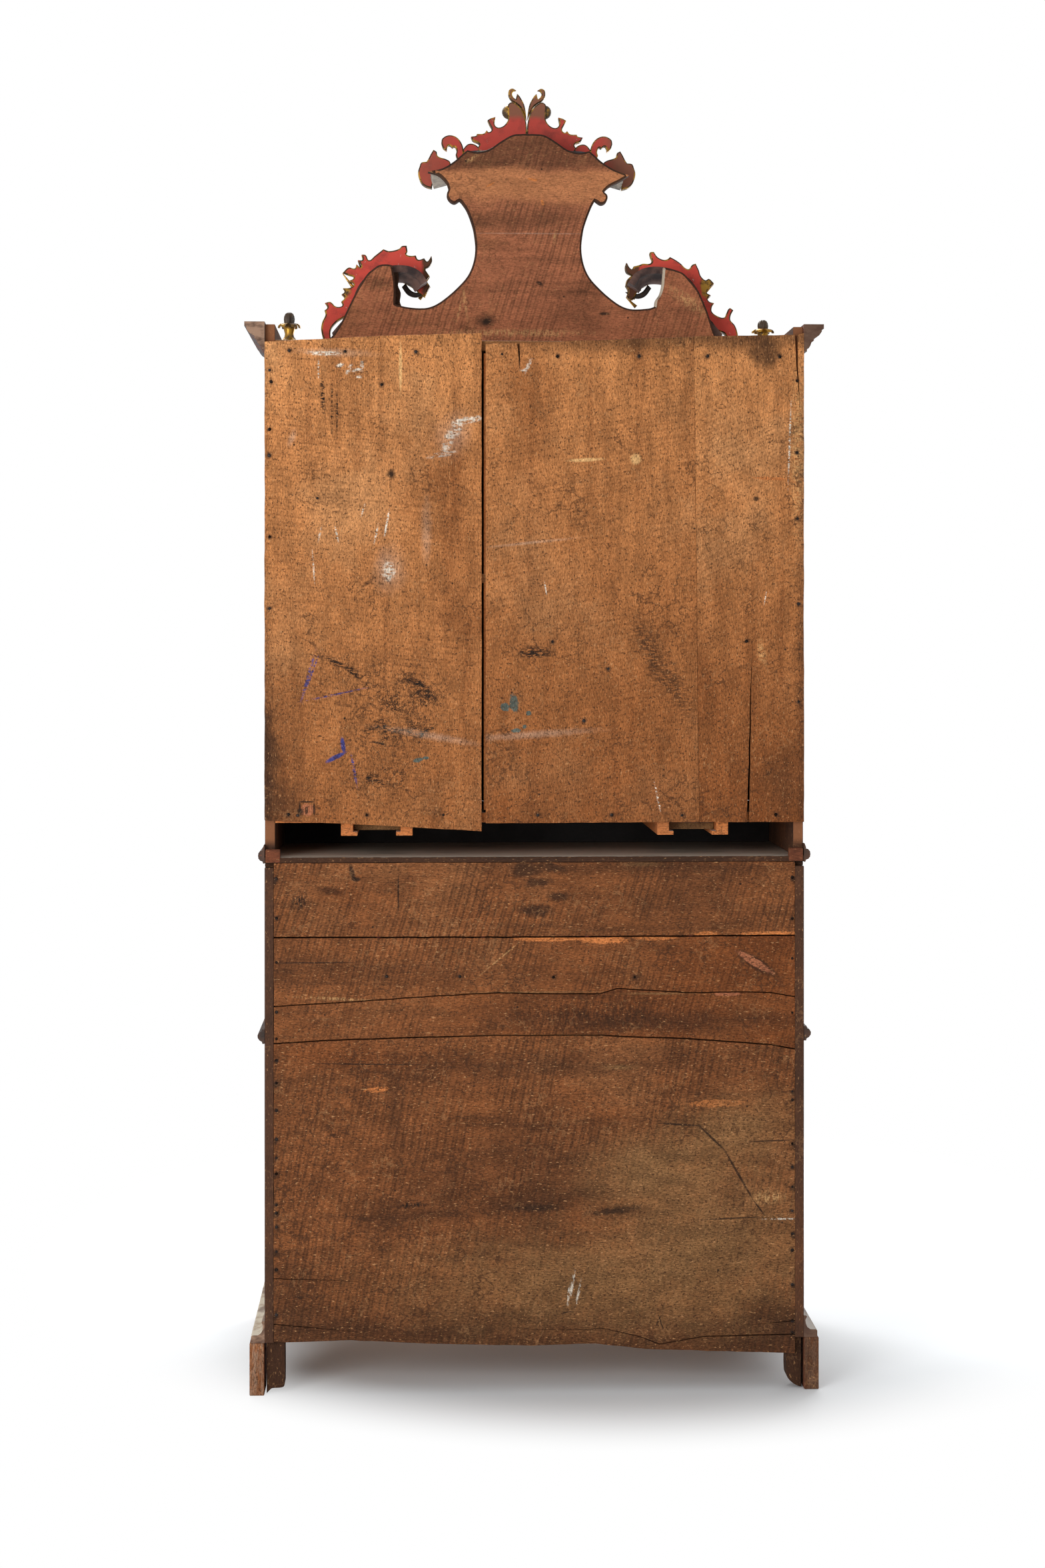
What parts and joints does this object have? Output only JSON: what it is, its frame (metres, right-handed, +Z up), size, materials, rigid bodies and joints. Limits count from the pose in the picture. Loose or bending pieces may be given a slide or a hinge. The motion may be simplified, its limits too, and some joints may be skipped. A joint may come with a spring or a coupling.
{
  "type": "bureau cabinet",
  "caption": "Slant-front bureau with drawers under a two-door mirrored upper case, board back, moulded cornice and a sawn crest with carved leaves.",
  "frame": {"origin": "on the floor under the middle of the cabinet's box", "axes": "+Z up; the front with doors and drawers faces -Y, the board back faces +Y; +X is to the right of someone facing the front"},
  "size_m": [1.1606, 0.63, 2.6802],
  "materials": {
    "worn_pine": "bare, dry and worn, orange-brown with age",
    "dark_pine": "bare, dusty, dark brown with age",
    "lacquered_wood": "dark plum-brown lacquer",
    "red_brown_wood": "worn red-brown stain",
    "slate_painted_wood": "slate-grey paint, chipped",
    "painted_stone_wood": "cream paint veined with brown",
    "red_gilt_wood": "carved, gilt in front over red, red behind",
    "gilt_wood": "turned and gilt, rubbed",
    "brass": "dull polished",
    "iron": "blackened",
    "silvered_glass": "old silvering"
  },
  "bodies": {
    "case": {"bureau_side_left": "lacquered_wood", "bureau_side_right": "lacquered_wood", "bureau_bottom": "dark_pine", "bureau_top": "dark_pine", "writing_board": "dark_pine", "bureau_back_board_lower": "dark_pine", "bureau_back_board_middle": "dark_pine", "bureau_back_board_upper": "dark_pine", "drawer_divider_lower": "dark_pine", "drawer_divider_upper": "dark_pine", "fall_hinge_left": "brass", "fall_hinge_right": "brass", "pigeonhole_unit": "red_brown_wood", "foot_front_left": "red_brown_wood", "foot_front_right": "red_brown_wood", "foot_back_left": "red_brown_wood", "foot_back_right": "red_brown_wood", "base_moulding": "painted_stone_wood", "level_moulding_left": "red_brown_wood", "level_moulding_right": "red_brown_wood", "waist_moulding": "red_brown_wood", "upper_side_left": "lacquered_wood", "upper_side_right": "lacquered_wood", "upper_bottom": "dark_pine", "upper_top": "dark_pine", "upper_shelf": "dark_pine", "upper_front_rail": "lacquered_wood", "upper_back_panel": "worn_pine", "upper_back_board": "worn_pine", "door_pivot_rod_left": "iron", "door_pivot_rod_right": "iron", "cornice": "slate_painted_wood", "finial_left": "gilt_wood", "finial_right": "gilt_wood", "crest_board": "worn_pine", "crest_cap_moulding": "lacquered_wood", "crest_swan_moulding_left": "lacquered_wood", "crest_swan_moulding_right": "lacquered_wood", "top_acanthus_left": "red_gilt_wood", "top_acanthus_right": "red_gilt_wood", "hump_acanthus_left": "red_gilt_wood", "hump_acanthus_right": "red_gilt_wood"},
    "door_left": {"door_left": "lacquered_wood", "door_mirror_left": "silvered_glass"},
    "door_right": {"door_right": "lacquered_wood", "door_mirror_right": "silvered_glass"},
    "fall": {"fall_front": "lacquered_wood"},
    "loper_left": {"loper_left": "lacquered_wood"},
    "loper_right": {"loper_right": "lacquered_wood"},
    "long_drawer_lower": {"long_drawer_lower": "lacquered_wood", "long_drawer_lower_knob_left": "brass", "long_drawer_lower_knob_right": "brass"},
    "long_drawer_middle": {"long_drawer_middle": "lacquered_wood", "long_drawer_middle_knob_left": "brass", "long_drawer_middle_knob_right": "brass"},
    "top_drawer": {"top_drawer": "lacquered_wood"},
    "small_drawer_left": {"small_drawer_left": "red_brown_wood"},
    "small_drawer_right": {"small_drawer_right": "red_brown_wood"},
    "candle_slide_left": {"candle_slide_left": "red_brown_wood"},
    "candle_slide_right": {"candle_slide_right": "red_brown_wood"}
  },
  "joints": [
    {"name": "door_left_hinge", "type": "hinge", "parent": "case", "child": "door_left", "pos_m": [-0.52, -0.07121, 1.6225], "axis": [0, 0, -1], "range_deg": [0, 110]},
    {"name": "door_right_hinge", "type": "hinge", "parent": "case", "child": "door_right", "pos_m": [0.52, -0.07121, 1.6225], "axis": [0, 0, 1], "range_deg": [0, 110]},
    {"name": "fall_hinge", "type": "hinge", "parent": "case", "child": "fall", "pos_m": [0, -0.286, 0.734], "axis": [1, 0, 0], "range_deg": [0, 121]},
    {"name": "loper_left_slide", "type": "slide", "parent": "case", "child": "loper_left", "axis": [0, -1, 0], "range_m": [0, 0.26]},
    {"name": "loper_right_slide", "type": "slide", "parent": "case", "child": "loper_right", "axis": [0, -1, 0], "range_m": [0, 0.26]},
    {"name": "long_drawer_lower_slide", "type": "slide", "parent": "case", "child": "long_drawer_lower", "axis": [0, -1, 0], "range_m": [0, 0.42]},
    {"name": "long_drawer_middle_slide", "type": "slide", "parent": "case", "child": "long_drawer_middle", "axis": [0, -1, 0], "range_m": [0, 0.42]},
    {"name": "top_drawer_slide", "type": "slide", "parent": "case", "child": "top_drawer", "axis": [0, -1, 0], "range_m": [0, 0.42]},
    {"name": "small_drawer_left_slide", "type": "slide", "parent": "case", "child": "small_drawer_left", "axis": [0, -1, 0], "range_m": [0, 0.16]},
    {"name": "small_drawer_right_slide", "type": "slide", "parent": "case", "child": "small_drawer_right", "axis": [0, -1, 0], "range_m": [0, 0.16]},
    {"name": "candle_slide_left_slide", "type": "slide", "parent": "case", "child": "candle_slide_left", "axis": [0, -1, 0], "range_m": [0, 0.22]},
    {"name": "candle_slide_right_slide", "type": "slide", "parent": "case", "child": "candle_slide_right", "axis": [0, -1, 0], "range_m": [0, 0.22]}
  ]
}
